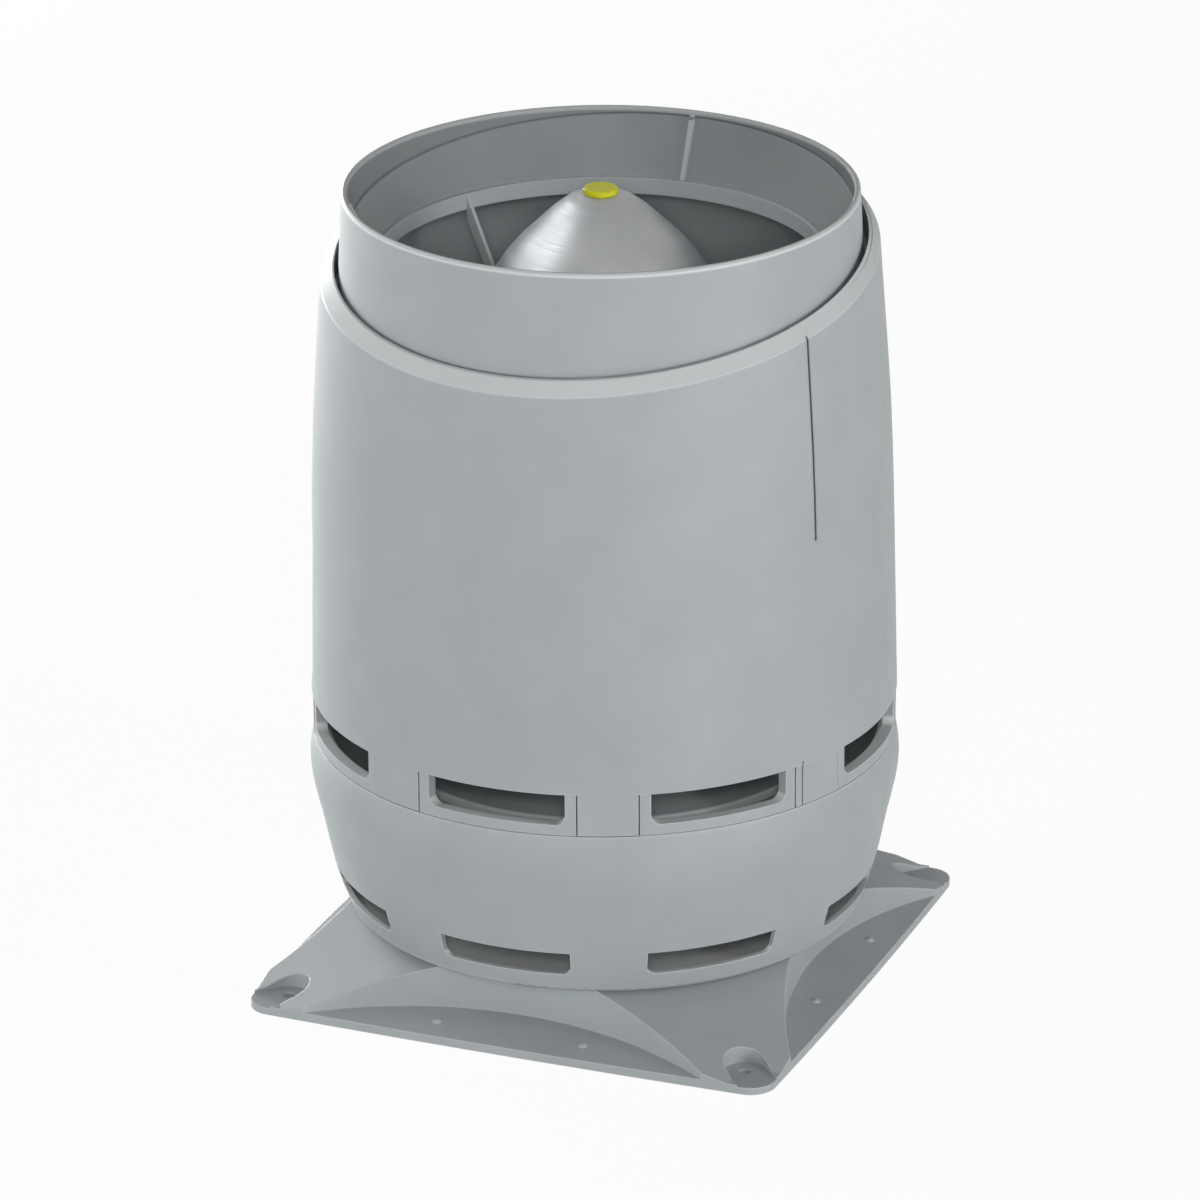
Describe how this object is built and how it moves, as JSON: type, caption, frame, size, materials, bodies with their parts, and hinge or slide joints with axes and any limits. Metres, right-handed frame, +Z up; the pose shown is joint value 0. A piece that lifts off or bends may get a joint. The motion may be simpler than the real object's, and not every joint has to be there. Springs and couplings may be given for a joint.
{
  "type": "roof exhaust vent pipe",
  "caption": "Grey moulded roof exhaust vent: square roof plate, slotted bowl, barrel hood with oblique shoulder and an open outlet round a rain cone.",
  "frame": {"origin": "middle of the roof plate's underside", "axes": "+Z up along the pipe; the plate's sides lie along X and Y; the oblique shoulder rises towards +Y"},
  "size_m": [0.3186, 0.3186, 0.4378],
  "materials": {
    "shell_grey": "fine-grained moulded polypropylene",
    "plate_grey": "fine-grained moulded polypropylene",
    "collar_grey": "moulded polypropylene, semi-matt",
    "carrier_grey": "moulded polypropylene, semi-matt",
    "inner_grey": "moulded polypropylene",
    "pipe_grey": "extruded polypropylene pipe",
    "seal_rubber": "soft EPDM lip ring",
    "cone_satin": "spun, satin",
    "cap_yellow": "moulded, satin gloss",
    "screw_steel": "stainless, plain"
  },
  "bodies": {
    "root": {"base_plate": "plate_grey", "exhaust_pipe": "pipe_grey", "pipe_seal": "seal_rubber", "drip_skirt": "inner_grey", "skirt_screws": "screw_steel", "lower_bowl": "shell_grey", "window_ring": "shell_grey", "bowl_screws": "screw_steel", "upper_hood": "shell_grey", "outlet_collar": "collar_grey", "collar_screws": "screw_steel", "cone_carrier": "carrier_grey", "carrier_screws": "screw_steel", "rain_cone": "cone_satin", "cone_bolt": "screw_steel", "cone_cap": "cap_yellow"}
  },
  "joints": []
}
